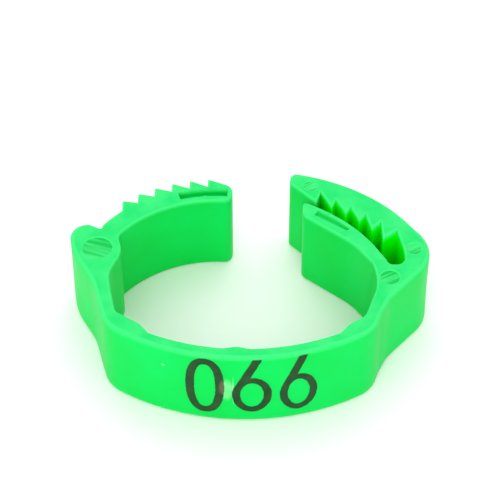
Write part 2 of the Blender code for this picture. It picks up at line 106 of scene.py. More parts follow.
# Drawing in the plan
ARC_STEP = 0.45             # millimetres
ARC_TURN = 9                # degrees
CORNER_STEPS = 8


def polar(centre, radius, angle):
    turn = math.radians(angle)
    return (centre[0] + radius * math.cos(turn), centre[1] + radius * math.sin(turn))


def bearing(centre, point):
    return math.degrees(math.atan2(point[1] - centre[1], point[0] - centre[0]))


def arc(centre, radius, start, end):
    """Points along an arc, both ends included, in steps too short to see."""
    length = abs(math.radians(end - start)) * radius
    steps = max(2, round(length / ARC_STEP), round(abs(end - start) / ARC_TURN))
    return [polar(centre, radius, start + (end - start) * i / steps) for i in range(steps + 1)]


def ahead(origin, heading, forward, left=0.0):
    """The point so far forward and to the left of origin, for someone facing along heading."""
    turn = math.radians(heading)
    x = origin[0] + forward * math.cos(turn) - left * math.sin(turn)
    y = origin[1] + forward * math.sin(turn) + left * math.cos(turn)
    return (x, y)


def beside(origin, offset):
    return (origin[0] + offset[0], origin[1] + offset[1])


def corner(point, reach):
    """A corner that soften() rounds, starting this far before and after it."""
    return (point[0], point[1], reach)


def walk(points, index, direction, distance):
    """Walk along a closed outline from a corner; return the point reached and the points passed."""
    passed = []
    here = points[index]
    while True:
        index = (index + direction) % len(points)
        there = points[index]
        step = math.dist(here[:2], there[:2])
        if step >= distance or len(there) == 3:
            share = min(distance / step, 0.5 if len(there) == 3 else 1.0)
            x = here[0] + (there[0] - here[0]) * share
            y = here[1] + (there[1] - here[1]) * share
            return (x, y), passed
        passed.append(index)
        distance -= step
        here = there


def soften(points):
    """Turn each corner() of a closed outline into a smooth curve."""
    dropped = set()
    curves = {}
    for index, point in enumerate(points):
        if len(point) < 3:
            continue
        start, before = walk(points, index, -1, point[2])
        end, after = walk(points, index, 1, point[2])
        dropped.update(before + after)
        curve = []
        for i in range(CORNER_STEPS + 1):
            t = i / CORNER_STEPS
            x = (1 - t) ** 2 * start[0] + 2 * t * (1 - t) * point[0] + t * t * end[0]
            y = (1 - t) ** 2 * start[1] + 2 * t * (1 - t) * point[1] + t * t * end[1]
            curve.append((x, y))
        curves[index] = curve
    outline = []
    for index, point in enumerate(points):
        if index in curves:
            outline.extend(curves[index])
        elif index not in dropped:
            outline.append(point)
    return outline


def circle_hit(point, heading, centre, radius):
    """Where the line through point along heading leaves the circle."""
    turn = math.radians(heading)
    across = (point[0] - centre[0], point[1] - centre[1])
    along = across[0] * math.cos(turn) + across[1] * math.sin(turn)
    apart = across[0] ** 2 + across[1] ** 2 - radius ** 2
    return ahead(point, heading, -along + math.sqrt(along ** 2 - apart))


# The number plate
PLATE_RADIUS = 23.5         # its outer face
PLATE_WALL = 1.45
PLATE_DEPTH = 7.42          # from the necks' bending lines forward to the outer face
PLATE_SHIFT = 0.3           # to the right of the middle between the necks
PLATE_CENTRE = ((LEFT[0] + RIGHT[0]) / 2 + PLATE_SHIFT, LEFT[1] - PLATE_DEPTH + PLATE_RADIUS)
LEFT_CORNER_REACH = 1.4
RIGHT_CORNER_REACH = 1.3
LEFT_FOLD_REACH = 0.3       # where each neck meets the plate's inner face
RIGHT_FOLD_REACH = 0.6
SIDE_PAD_RISE = 0.7         # a thicker stretch behind each end of the plate
SIDE_PAD_START = 9.7        # either side of the plate's middle
SIDE_PAD_TOP = 10.65
SIDE_PAD_REACH = 0.6
MIDDLE_PAD_RISE = 0.3       # a low pad behind the middle of the plate
MIDDLE_PAD_HALF = 1.6
MIDDLE_PAD_SHIFT = -0.5
NECK_WALL = 1.5
LEFT_HEADING = 106.0        # directions in which the necks run back from the plate
RIGHT_HEADING = 71.5
LEFT_STUB = 0.3             # the plate's piece ends this far before each neck's bending line
RIGHT_STUB = 0.8


def plate_outline():
    half = NECK_WALL / 2
    inner_radius = PLATE_RADIUS - PLATE_WALL
    pad_radius = inner_radius - SIDE_PAD_RISE
    middle = (LEFT[0] + RIGHT[0]) / 2
    right_outer = ahead(RIGHT, RIGHT_HEADING, -RIGHT_STUB, -half)
    right_inner = ahead(RIGHT, RIGHT_HEADING, -RIGHT_STUB, half)
    left_outer = ahead(LEFT, LEFT_HEADING, -LEFT_STUB, half)
    left_inner = ahead(LEFT, LEFT_HEADING, -LEFT_STUB, -half)
    right_corner = circle_hit(right_outer, RIGHT_HEADING + 180, PLATE_CENTRE, PLATE_RADIUS)
    left_corner = circle_hit(left_outer, LEFT_HEADING + 180, PLATE_CENTRE, PLATE_RADIUS)
    right_fold = circle_hit(right_inner, RIGHT_HEADING + 180, PLATE_CENTRE, pad_radius)
    left_fold = circle_hit(left_inner, LEFT_HEADING + 180, PLATE_CENTRE, pad_radius)
    pad_start = math.degrees(math.asin(SIDE_PAD_START / inner_radius))
    pad_top = math.degrees(math.asin(SIDE_PAD_TOP / pad_radius))
    points = [corner(left_corner, LEFT_CORNER_REACH)]
    outer_start = bearing(PLATE_CENTRE, left_corner)
    outer_end = bearing(PLATE_CENTRE, right_corner)
    points += arc(PLATE_CENTRE, PLATE_RADIUS, outer_start, outer_end)[1:-1]
    points += [corner(right_corner, RIGHT_CORNER_REACH), right_outer, right_inner]
    points += [corner(right_fold, RIGHT_FOLD_REACH)]
    points += [corner(polar(PLATE_CENTRE, pad_radius, 270 + pad_top), SIDE_PAD_REACH)]
    for x, y in arc(PLATE_CENTRE, inner_radius, 270 + pad_start, 270 - pad_start):
        share = min(1.0, abs(x - middle - MIDDLE_PAD_SHIFT) / MIDDLE_PAD_HALF)
        rise = MIDDLE_PAD_RISE / 2 * (1 + math.cos(math.pi * share))
        points.append(polar(PLATE_CENTRE, inner_radius - rise, bearing(PLATE_CENTRE, (x, y))))
    points += [corner(polar(PLATE_CENTRE, pad_radius, 270 - pad_top), SIDE_PAD_REACH)]
    points += [corner(left_fold, LEFT_FOLD_REACH), left_inner, left_outer]
    return soften(points)


# The left arm: neck, knuckle and ratchet tongue
LEFT_NECK_LENGTH = 3.4      # from the bending line to the knuckle
LEFT_NECK_OUTER = -0.12     # how far its faces stand off straight where it ends
LEFT_NECK_INNER = 0.36
LEFT_NECK_REACH = 0.9
KNUCKLE_CAP = beside(LEFT, (-2.62, 10.55))
KNUCKLE_CAP_RADIUS = 1.78
KNUCKLE_NOTCH_REACH = 0.3
KNUCKLE_SHOULDER = beside(LEFT, (-4.0, 7.9))
KNUCKLE_SHOULDER_REACH = 1.6
KNUCKLE_OUTER_WAIST = (1.2, 0.1)    # ahead and left of the neck's outer corner
KNUCKLE_OUTER_REACH = 1.0
KNUCKLE_INNER_WAIST = (1.6, -0.35)  # ahead and left of the neck's inner corner
KNUCKLE_INNER_REACH = 1.2
KNUCKLE_BULGE = beside(LEFT, (-2.5, 8.45))
KNUCKLE_BULGE_RADIUS = 3.6
KNUCKLE_FOLD_REACH = 0.3
TONGUE_CENTRE = beside(LEFT, (11.06, 3.47))
TONGUE_FACE = 12.55         # radii of its inner face, tooth roots and tooth crests
TONGUE_ROOT = 14.95
TONGUE_CREST = 16.15
TONGUE_PITCH = 2.0
TONGUE_FIRST_TOOTH = 128.9  # degrees about its centre
TONGUE_START = 142
TONGUE_NOSE = 2.75          # from the last tooth to the end
TONGUE_NOSE_REACH = 1.0
TOOTH_COUNT = 6


def left_arm_outline():
    half = NECK_WALL / 2
    step = math.degrees(TONGUE_PITCH / TONGUE_CREST)
    nose = TONGUE_FIRST_TOOTH - (TOOTH_COUNT - 1) * step - math.degrees(TONGUE_NOSE / TONGUE_ROOT)
    crests = [polar(TONGUE_CENTRE, TONGUE_CREST, TONGUE_FIRST_TOOTH - step * i)
              for i in range(TOOTH_COUNT)]
    first_root = math.degrees(math.acos((crests[0][0] - TONGUE_CENTRE[0]) / TONGUE_ROOT))
    neck_outer = ahead(LEFT, LEFT_HEADING, LEFT_NECK_LENGTH, half + LEFT_NECK_OUTER)
    neck_inner = ahead(LEFT, LEFT_HEADING, LEFT_NECK_LENGTH, -half - LEFT_NECK_INNER)
    outer_waist = ahead(neck_outer, LEFT_HEADING, *KNUCKLE_OUTER_WAIST)
    inner_waist = ahead(neck_inner, LEFT_HEADING, *KNUCKLE_INNER_WAIST)
    points = [corner(polar(TONGUE_CENTRE, TONGUE_ROOT - 0.2, TONGUE_START + 4.5), KNUCKLE_NOTCH_REACH)]
    points += arc(KNUCKLE_CAP, KNUCKLE_CAP_RADIUS, 85, 185)
    points += [corner(KNUCKLE_SHOULDER, KNUCKLE_SHOULDER_REACH)]
    points += [corner(outer_waist, KNUCKLE_OUTER_REACH), corner(neck_outer, LEFT_NECK_REACH)]
    points += [ahead(LEFT, LEFT_HEADING, -LEFT_STUB, side) for side in (half, -half)]
    points += [corner(neck_inner, LEFT_NECK_REACH), corner(inner_waist, KNUCKLE_INNER_REACH)]
    points += arc(KNUCKLE_BULGE, KNUCKLE_BULGE_RADIUS, -28, 22)
    points += [corner(polar(TONGUE_CENTRE, TONGUE_FACE, TONGUE_START + 3), KNUCKLE_FOLD_REACH)]
    points += arc(TONGUE_CENTRE, TONGUE_FACE, TONGUE_START, nose)[:-1]
    points += [corner(polar(TONGUE_CENTRE, TONGUE_FACE, nose), TONGUE_NOSE_REACH)]
    points += [corner(polar(TONGUE_CENTRE, TONGUE_ROOT, nose), TONGUE_NOSE_REACH)]
    for crest in reversed(crests):
        rise = math.sqrt(TONGUE_ROOT ** 2 - (crest[0] - TONGUE_CENTRE[0]) ** 2)
        points += [crest, (crest[0], TONGUE_CENTRE[1] + rise)]
    points += arc(TONGUE_CENTRE, TONGUE_ROOT, first_root, TONGUE_START + 2)[1:]
    return soften(points)


# The clasp: neck and root, jaw, guide tongue
RIGHT_NECK_LENGTH = 1.6     # from the bending line to the root
RIGHT_NECK_OUTER = 0.25     # how far its outer face stands off straight where it ends
RIGHT_NECK_REACH = 0.7
BOSS = beside(RIGHT, (1.15, 8.22))
BOSS_RADIUS = 4.79
CHANNEL = beside(RIGHT, (2.3, 7.15))
CHANNEL_RADIUS = 0.97
LEG_WALL = beside(RIGHT, (-8.05, 4.0))
LEG_WALL_RADIUS = 8.2
JAW_CENTRE = beside(RIGHT, (-12.17, 1.2))
JAW_RADIUS = 19.7           # its outer face
JAW_WALL = 2.7              # to the tooth roots, where it is thinnest
JAW_CREST_WALL = 3.8        # to the tooth crests
JAW_HEADING = 85.0
JAW_PITCH = 1.96            # along the tooth roots
JAW_FIRST_TOOTH = 67        # the tooth at the mouth, in degrees about the jaw's centre
JAW_TOOTH_LEAN = 0.6        # degrees that a crest leans back from its root
JAW_ROOT_LINE = 52          # the roots lie on a straight line, square to this direction
JAW_TIP = 79                # degrees about the jaw's centre
JAW_TIP_REACH = 0.8
JAW_LIP = 1.1               # how far the jaw's end reaches inwards, short of the tooth roots
JAW_LIP_REACH = 0.5
JAW_HEEL = (0.3, 1.36)      # ahead and left of its hinge, where the teeth begin
JAW_HEEL_REACH = 0.6
GUIDE_CENTRE = beside(RIGHT, (-15.09, -0.03))
GUIDE_RADIUS = 17.74        # its face in the channel
GUIDE_HEADING = 115.0
GUIDE_TIP_WALL = 1.95
GUIDE_TIP = 63.9            # degrees about its centre
GUIDE_TIP_SLANT = 3.4       # degrees that the tip's inner corner is set back
GUIDE_TIP_REACH = 0.75
GUIDE_LIP_REACH = 0.5
GUIDE_BEND = (3.0, 1.2)     # ahead and left of its hinge, where its inner face turns
GUIDE_BEND_REACH = 1.2
JAW_SPLIT_ANGLES = (-11, -5)        # about the boss, and about the channel's end
GUIDE_SPLIT_ANGLES = (-150, 17.3)   # about the channel's end, and about the leg wall's centre
JAW_SPLIT = (polar(BOSS, BOSS_RADIUS, JAW_SPLIT_ANGLES[0]),
             polar(CHANNEL, CHANNEL_RADIUS, JAW_SPLIT_ANGLES[1]))
GUIDE_SPLIT = (polar(CHANNEL, CHANNEL_RADIUS, GUIDE_SPLIT_ANGLES[0]),
               polar(LEG_WALL, LEG_WALL_RADIUS, GUIDE_SPLIT_ANGLES[1]))


def clasp_root_outline():
    half = NECK_WALL / 2
    neck_outer = ahead(RIGHT, RIGHT_HEADING, RIGHT_NECK_LENGTH, -half - RIGHT_NECK_OUTER)
    neck_inner = ahead(RIGHT, RIGHT_HEADING, RIGHT_NECK_LENGTH, half)
    wall_start, wall_end = GUIDE_SPLIT_ANGLES[1], bearing(LEG_WALL, neck_inner)
    points = [ahead(RIGHT, RIGHT_HEADING, -RIGHT_STUB, side) for side in (half, -half)]
    points += [corner(neck_outer, RIGHT_NECK_REACH)]
    points += arc(BOSS, BOSS_RADIUS, -46, JAW_SPLIT_ANGLES[0])
    points += arc(CHANNEL, CHANNEL_RADIUS, JAW_SPLIT_ANGLES[1], GUIDE_SPLIT_ANGLES[0])
    points += arc(LEG_WALL, LEG_WALL_RADIUS, wall_start, wall_end)[:-1]
    points += [corner(neck_inner, RIGHT_NECK_REACH)]
    return soften(points)


def jaw_outline():
    thin_radius = JAW_RADIUS - JAW_WALL
    crest_radius = JAW_RADIUS - JAW_CREST_WALL
    step = math.degrees(JAW_PITCH / thin_radius)
    points = [JAW_SPLIT[1]]
    points += arc(BOSS, BOSS_RADIUS, JAW_SPLIT_ANGLES[0], 38)
    points += arc(JAW_CENTRE, JAW_RADIUS, 33, JAW_TIP)[:-1]
    points += [corner(polar(JAW_CENTRE, JAW_RADIUS, JAW_TIP), JAW_TIP_REACH)]
    points += [corner(polar(JAW_CENTRE, thin_radius + JAW_LIP, JAW_TIP), JAW_LIP_REACH)]
    for i in range(TOOTH_COUNT):
        angle = JAW_FIRST_TOOTH - step * i
        root_radius = thin_radius / math.cos(math.radians(angle - JAW_ROOT_LINE))
        points += [polar(JAW_CENTRE, crest_radius, angle - JAW_TOOTH_LEAN)]
        points += [polar(JAW_CENTRE, root_radius, angle)]
    points += [corner(ahead(JAW, JAW_HEADING, *JAW_HEEL), JAW_HEEL_REACH)]
    return soften(points)


def guide_outline():
    face = arc(GUIDE_CENTRE, GUIDE_RADIUS, 25, GUIDE_TIP)
    inner_tip = polar(GUIDE_CENTRE, GUIDE_RADIUS - GUIDE_TIP_WALL, GUIDE_TIP - GUIDE_TIP_SLANT)
    points = [GUIDE_SPLIT[1], GUIDE_SPLIT[0]]
    points += face[1:-1]
    points += [corner(face[-1], GUIDE_TIP_REACH), corner(inner_tip, GUIDE_LIP_REACH)]
    points += [corner(ahead(GUIDE, GUIDE_HEADING, *GUIDE_BEND), GUIDE_BEND_REACH)]
    return soften(points)


# Moulding

def raised(outline):
    """A closed solid of the band's height over a plan outline."""
    mould = bmesh.new()
    rim = [mould.verts.new((x * MM, y * MM, 0)) for x, y in outline]
    underside = mould.faces.new(rim)
    lifted = bmesh.ops.extrude_face_region(mould, geom=[underside])["geom"]
    top = [part for part in lifted if isinstance(part, bmesh.types.BMVert)]
    bmesh.ops.translate(mould, verts=top, vec=(0, 0, HEIGHT * MM))
    bmesh.ops.remove_doubles(mould, verts=mould.verts, dist=WELD * MM)
    bmesh.ops.recalc_face_normals(mould, faces=mould.faces)
    return mould


def slice_across(mould, place, direction):
    """Cut every face that a plane crosses in two, and keep both halves."""
    whole = mould.verts[:] + mould.edges[:] + mould.faces[:]
    bmesh.ops.bisect_plane(mould, geom=whole, dist=WELD * MM, plane_co=place, plane_no=direction)


def add_levels(mould):
    """Rows of faces up the walls."""
    for i in range(1, WALL_LEVELS):
        slice_across(mould, (0, 0, HEIGHT * MM * i / WALL_LEVELS), (0, 0, 1))


def add_bend(mould, start, end, cuts):
    """Rows of faces across a strip that bends between two plan points."""
    across = Vector((end[0] - start[0], end[1] - start[1], 0))
    for i in range(1, cuts):
        share = i / cuts
        place = (start[0] * MM + across.x * MM * share, start[1] * MM + across.y * MM * share, 0)
        slice_across(mould, place, across.normalized())


def sink(mould, place, towards, reach, depth):
    """Draw a wall in where thick plastic shrank as it cooled."""
    centre = Vector((place[0] * MM, place[1] * MM))
    inwards = Vector((towards[0] - place[0], towards[1] - place[1], 0)).normalized()
    for vert in mould.verts:
        share = (vert.co.xy - centre).length / (reach * MM)
        if share < 1 and TINY < vert.co.z < HEIGHT * MM - TINY:
            level = math.sin(math.pi * vert.co.z / (HEIGHT * MM)) ** 2
            fall = math.cos(math.pi / 2 * share) ** 2
            vert.co += inwards * depth * MM * level * fall


def on_split(vert, splits):
    """Whether a vertex stands on an edge where the moulding is split."""
    ends = [end for split in splits for end in split]
    return any(math.dist(vert.co.xy, (x * MM, y * MM)) < 2 * TINY for x, y in ends)


def outer_share(place, facing, soft_until):
    """How far a rim is an outer one. Those behind soft_until, along Y, are as tight as inner ones."""
    outward = min(1.0, max(0.0, facing.dot(place.normalized()) * 2))
    level = (soft_until - place.y / MM) / RIM_FADE
    return outward * min(1.0, max(0.0, level))


def weigh_rims(mould, splits, soft_until):
    """Mark the rims for their rounding, and the ratchet's upright edges for a little."""
    mould.normal_update()
    weights = mould.edges.layers.float.new("bevel_weight_edge")
    top = HEIGHT * MM
    for edge in mould.edges:
        a, b = edge.verts
        if len(edge.link_faces) != 2 or on_split(a, splits) and on_split(b, splits):
            continue
        turn = edge.calc_face_angle_signed(0.0)
        level = abs(a.co.z - b.co.z) < 1e-7
        at_rim = level and (a.co.z < 1e-7 or a.co.z > top - 1e-7)
        if at_rim and abs(turn) > SHARP_TURN:
            wall = min(edge.link_faces, key=lambda face: abs(face.normal.z))
            middle = (a.co.xy + b.co.xy) / 2
            share = outer_share(middle, wall.normal.xy, soft_until)
            edge[weights] = (INNER_RIM + (OUTER_RIM - INNER_RIM) * share) / OUTER_RIM
        elif not level and abs(turn) > SHARP_TURN:
            edge[weights] = TOOTH_ROUND / OUTER_RIM


def add_object(name, mould):
    mesh = bpy.data.meshes.new(name)
    mould.to_mesh(mesh)
    mould.free()
    obj = bpy.data.objects.new(name, mesh)
    bpy.context.scene.collection.objects.link(obj)
    return obj


def settle(obj):
    """Make an object's modifiers part of its mesh."""
    depsgraph = bpy.context.evaluated_depsgraph_get()
    mesh = bpy.data.meshes.new_from_object(obj.evaluated_get(depsgraph))
    obj.modifiers.clear()
    obj.data = mesh
    mesh.name = obj.name


def round_rims(obj):
    bevel = obj.modifiers.new("rims", "BEVEL")
    bevel.width = OUTER_RIM * MM
    bevel.segments = RIM_STEPS
    bevel.profile = 0.5
    bevel.limit_method = "WEIGHT"
    bevel.use_clamp_overlap = False
    settle(obj)


def hollow(obj, cutters):
    """Sink closed cutters' shapes into a piece, then discard the cutters."""
    for cutter in cutters:
        modifier = obj.modifiers.new(cutter.name, "BOOLEAN")
        modifier.operation = "DIFFERENCE"
        modifier.solver = "MANIFOLD"
        modifier.object = cutter
    settle(obj)
    for cutter in cutters:
        bpy.data.objects.remove(cutter, do_unlink=True)


def cutter_over(name, outline, depth, foot=0.0):
    """A cutter that reaches depth below the top faces, with its lower rim rounded by foot."""
    mould = raised(outline)
    for vert in mould.verts:
        is_low = vert.co.z < HEIGHT * MM / 2
        vert.co.z = (HEIGHT - depth if is_low else HEIGHT + CUTTER_RISE) * MM
    if foot:
        lower = [e for e in mould.edges if all(v.co.z < HEIGHT * MM for v in e.verts)]
        bmesh.ops.bevel(mould, geom=lower, offset=foot * MM, affect="EDGES", segments=3,
                        profile=0.5, material=-1)
    return add_object(name, mould)


def smooth(obj):
    """Shade round where faces meet gently, and keep flat faces flat."""
    for face in obj.data.polygons:
        face.use_smooth = True
    mould = bmesh.new()
    mould.from_mesh(obj.data)
    for edge in mould.edges:
        edge.smooth = len(edge.link_faces) == 2 and edge.calc_face_angle(0.0) < math.radians(FLAT_LIMIT)
    mould.to_mesh(obj.data)
    mould.free()
    weighted = obj.modifiers.new("flat_faces", "WEIGHTED_NORMAL")
    weighted.keep_sharp = True
    weighted.weight = 100


def plan_line(origin, heading, start, end):
    return ahead(origin, heading, start), ahead(origin, heading, end)


def in_frame(point, z=HEIGHT / 2):
    return (point[0] * MM, point[1] * MM, z * MM)


# Printed figures, drawn flat with their bottom left corner at the origin
OVAL_STEPS = 60
NOUGHT_FULLNESS = 0.86
STROKE_THINNING = 0.9       # a stroke is this much thinner at the top and bottom of an oval
SIX_BOWL_ANGLES = (160, 455)


def oval(centre, half_width, half_height, start=0, end=360, fullness=1.0):
    """An ellipse, or with a fullness below 1 a squarer oval."""
    points = []
    for i in range(OVAL_STEPS + 1):
        turn = math.radians(start + (end - start) * i / OVAL_STEPS)
        across, up = math.cos(turn), math.sin(turn)
        points.append((centre[0] + half_width * math.copysign(abs(across) ** fullness, across),
                       centre[1] + half_height * math.copysign(abs(up) ** fullness, up)))
    return points


def roughened(loop, seed):
    """A printed edge: the loop in short steps, each pushed a hair in or out."""
    rough = []
    for i, here in enumerate(loop):
        there = loop[(i + 1) % len(loop)]
        steps = max(1, round(math.dist(here, there) / INK_STEP))
        for j in range(steps):
            x = here[0] + (there[0] - here[0]) * j / steps
            y = here[1] + (there[1] - here[1]) * j / steps
            along, up = x * INK_WAVES + seed, y * INK_WAVES
            push_x = noise.noise((along, up, seed)) * INK_RAGGED
            push_y = noise.noise((along, up, seed + NOISE_APART)) * INK_RAGGED
            rough.append((x + push_x, y + push_y))
    return rough


def nought(width, height, stroke):
    middle = (width / 2, height / 2)
    inner_height = height / 2 - stroke * STROKE_THINNING
    return [oval(middle, width / 2, height / 2, fullness=NOUGHT_FULLNESS)[:-1],
            oval(middle, width / 2 - stroke, inner_height, fullness=NOUGHT_FULLNESS)[:-1]]


def six(width, height, bowl_height, stroke, stem_top, stem_width):
    """A round bowl with a straight stem that leans from its left side to a flat cut at the top."""
    bowl = (width / 2, bowl_height / 2)
    outside = oval(bowl, width / 2, bowl_height / 2, *SIX_BOWL_ANGLES)
    outside = [(stem_top - stem_width, height)] + outside + [(stem_top, height)]
    inside = oval(bowl, width / 2 - stroke, bowl_height / 2 - stroke * STROKE_THINNING)[:-1]
    return [outside, inside]


def printed(name, loops, start, bottom):
    """A figure in a thin layer of ink on the plate's outer face, from start along the face."""
    curve = bpy.data.curves.new(name, "CURVE")
    curve.dimensions = "2D"
    curve.fill_mode = "BOTH"
    curve.extrude = INK * MM / 2
    for loop in loops:
        loop = roughened(loop, start)
        spline = curve.splines.new("POLY")
        spline.points.add(len(loop) - 1)
        for point, (x, y) in zip(spline.points, loop):
            point.co = (x * MM, y * MM, 0, 1)
        spline.use_cyclic_u = True
    holder = bpy.data.objects.new(name, curve)
    bpy.context.scene.collection.objects.link(holder)
    depsgraph = bpy.context.evaluated_depsgraph_get()
    mesh = bpy.data.meshes.new_from_object(holder.evaluated_get(depsgraph))
    bpy.data.objects.remove(holder, do_unlink=True)
    layer = bmesh.new()
    layer.from_mesh(mesh)
    bmesh.ops.remove_doubles(layer, verts=layer.verts, dist=TINY / 10)
    for i in range(1, 12):
        slice_across(layer, (0.4 * MM * i, 0, 0), (1, 0, 0))    # so that it can follow the plate's curve
    for vert in layer.verts:
        along = math.degrees((start * MM + vert.co.x) / (PLATE_RADIUS * MM))
        out = PLATE_RADIUS + INK_LIFT + vert.co.z / MM
        x, y = polar(PLATE_CENTRE, out, 270 + along)
        vert.co = (x * MM, y * MM, bottom * MM + vert.co.y)
    bmesh.ops.recalc_face_normals(layer, faces=layer.faces)
    return add_object(name, layer)


# Finishes

def new_material(name):
    material = bpy.data.materials.new(name)
    material.use_nodes = True
    nodes = material.node_tree.nodes
    return material, nodes, material.node_tree.links, nodes["Principled BSDF"]


def patch(nodes, links, place, centre, size):
    """A soft oval that is 1 in its middle and 0 outside, in the plan and in height."""
    mapping = nodes.new("ShaderNodeMapping")
    mapping.vector_type = "TEXTURE"
    mapping.inputs["Location"].default_value = [c * MM for c in centre]
    mapping.inputs["Scale"].default_value = [c * MM for c in size]
    links.new(place, mapping.inputs["Vector"])
    ball = nodes.new("ShaderNodeTexGradient")
    ball.gradient_type = "SPHERICAL"
    links.new(mapping.outputs["Vector"], ball.inputs["Vector"])
    return ball.outputs["Fac"]


def blend_colours(nodes, links, share, first, second):
    """From the first colour where share is 0 to the second where it is 1."""
    mix = nodes.new("ShaderNodeMix")
    mix.data_type = "RGBA"
    links.new(share, mix.inputs["Factor"])
    for value, place in ((first, 6), (second, 7)):
        if isinstance(value, tuple):
            mix.inputs[place].default_value = value
        else:
            links.new(value, mix.inputs[place])
    return mix.outputs[2]


def cloudy(nodes, links, place, scale, detail=3):
    """Soft noise with so many waves to the metre."""
    cloud = nodes.new("ShaderNodeTexNoise")
    cloud.inputs["Scale"].default_value = scale
    cloud.inputs["Detail"].default_value = detail
    links.new(place, cloud.inputs["Vector"])
    return cloud.outputs["Fac"]


def ranged(nodes, links, value, low, high, start=0.0, end=1.0):
    """The value stretched from start-end to low-high, and held at the ends."""
    span = nodes.new("ShaderNodeMapRange")
    span.inputs["From Min"].default_value = start
    span.inputs["From Max"].default_value = end
    span.inputs["To Min"].default_value = low
    span.inputs["To Max"].default_value = high
    links.new(value, span.inputs["Value"])
    return span.outputs["Result"]


def let_light_in(shader):
    """Satin plastic that scatters a little light under its surface."""
    shader.inputs["Subsurface Weight"].default_value = 0.2
    shader.inputs["Subsurface Radius"].default_value = (0.05, 1.0, 0.2)
    shader.inputs["Subsurface Scale"].default_value = 0.0005
    shader.inputs["IOR"].default_value = 1.46
    shader.inputs["Specular IOR Level"].default_value = 0.1


DEEP_GREEN = (0.0, 0.62, 0.068, 1)
BRIGHT_GREEN = (0.0, 0.67, 0.1, 1)
# painted glow: a bright, saturated green standing in for light shining through the plastic into hollows
PAINTED_GLOW_GREEN = (0.0, 0.93, 0.0, 1)
PIN_GREEN = (0.0, 0.50, 0.07, 1)
# painted sheen: lighter, whiter greens for the top faces, standing in for the light they reflect from
# above
TOP_SHEEN_GREEN = (0.005, 0.68, 0.14, 1)
PALE_SHEEN_GREEN = (0.035, 0.74, 0.18, 1)
# painted highlight for the upper rims, also used for the lighter streaks on ejector mark floors
RIM_HIGHLIGHT_AND_STREAK_GREEN = (0.045, 0.76, 0.19, 1)
SCUFF_GREEN = (0.27, 0.82, 0.36, 1)
INK_DARK = (0.010, 0.050, 0.012, 1)
INK_LIGHT = (0.022, 0.076, 0.022, 1)
INK_RUBBED = (0.13, 0.12, 0.06, 1)


def green_plastic(name, scuffs=(), shades=(DEEP_GREEN, BRIGHT_GREEN)):
    """Satin injection-moulded plastic that lets a little light in, with a painted sheen on its top faces
    and a painted highlight along its upper rims.
    """
    material, nodes, links, shader = new_material(name)
    place = nodes.new("ShaderNodeTexCoord").outputs["Object"]
    cloud = cloudy(nodes, links, place, 160)
    tint = ranged(nodes, links, cloud, 0, 1, 0.3, 0.7)
    colour = blend_colours(nodes, links, tint, *shades)
    height = nodes.new("ShaderNodeSeparateXYZ")
    links.new(place, height.inputs["Vector"])
    # Painted sheen: the top faces, found by their height, get a lighter, whiter green for the light they
    # reflect from above; noise only varies that sheen.
    up = ranged(nodes, links, height.outputs["Z"], 0, 1, (HEIGHT - 0.02) * MM, (HEIGHT - 0.005) * MM)
    # Painted highlight: the upper rims and the top of the walls get a lighter green for the light they
    # catch.
    rim_highlight_mask = ranged(nodes, links, height.outputs["Z"], 0, 1,
                      (HEIGHT - OUTER_RIM) * MM, (HEIGHT - MARK_DEPTH) * MM)
    colour = blend_colours(nodes, links, rim_highlight_mask, colour, RIM_HIGHLIGHT_AND_STREAK_GREEN)
    sheen_variation = ranged(nodes, links, cloudy(nodes, links, place, 330), 0, 1, 0.35, 0.65)
    painted_top_sheen = blend_colours(nodes, links, sheen_variation, TOP_SHEEN_GREEN, PALE_SHEEN_GREEN)
    colour = blend_colours(nodes, links, up, colour, painted_top_sheen)
    ragged = cloudy(nodes, links, place, 700, 3)
    for centre, size, strength in scuffs:
        spot = patch(nodes, links, place, centre, size)
        worn = nodes.new("ShaderNodeMath")
        worn.operation = "MULTIPLY"
        links.new(ranged(nodes, links, spot, 0, strength, 0.0, 0.45), worn.inputs[0])
        links.new(ranged(nodes, links, ragged, 0.55, 1, 0.4, 0.6), worn.inputs[1])
        colour = blend_colours(nodes, links, worn.outputs["Value"], colour, SCUFF_GREEN)
    links.new(colour, shader.inputs["Base Color"])
    links.new(ranged(nodes, links, cloud, 0.34, 0.46), shader.inputs["Roughness"])
    bump = nodes.new("ShaderNodeBump")
    bump.inputs["Strength"].default_value = 0.25
    bump.inputs["Distance"].default_value = 0.00002
    links.new(cloudy(nodes, links, place, 2600, 2), bump.inputs["Height"])
    links.new(bump.outputs["Normal"], shader.inputs["Normal"])
    let_light_in(shader)
    return material


def ejector_floor(name, turn, ridges, depth):
    """The floor of an ejector mark, streaked by the grinding of the steel pin's end."""
    material, nodes, links, shader = new_material(name)
    place = nodes.new("ShaderNodeTexCoord").outputs["Object"]
    mapping = nodes.new("ShaderNodeMapping")
    mapping.vector_type = "TEXTURE"
    mapping.inputs["Rotation"].default_value = (0, 0, math.radians(-turn))
    mapping.inputs["Scale"].default_value = (14, 1, 14)
    links.new(place, mapping.inputs["Vector"])
    ground = cloudy(nodes, links, mapping.outputs["Vector"], ridges, 1)
    streaks = ranged(nodes, links, ground, 0, 1, 0.4, 0.62)
    links.new(blend_colours(nodes, links, streaks, PIN_GREEN, RIM_HIGHLIGHT_AND_STREAK_GREEN), shader.inputs["Base Color"])
    links.new(ranged(nodes, links, streaks, 0.5, 0.3), shader.inputs["Roughness"])
    bump = nodes.new("ShaderNodeBump")
    bump.inputs["Strength"].default_value = 0.8
    bump.inputs["Distance"].default_value = depth
    links.new(streaks, bump.inputs["Height"])
    links.new(bump.outputs["Normal"], shader.inputs["Normal"])
    let_light_in(shader)
    return material


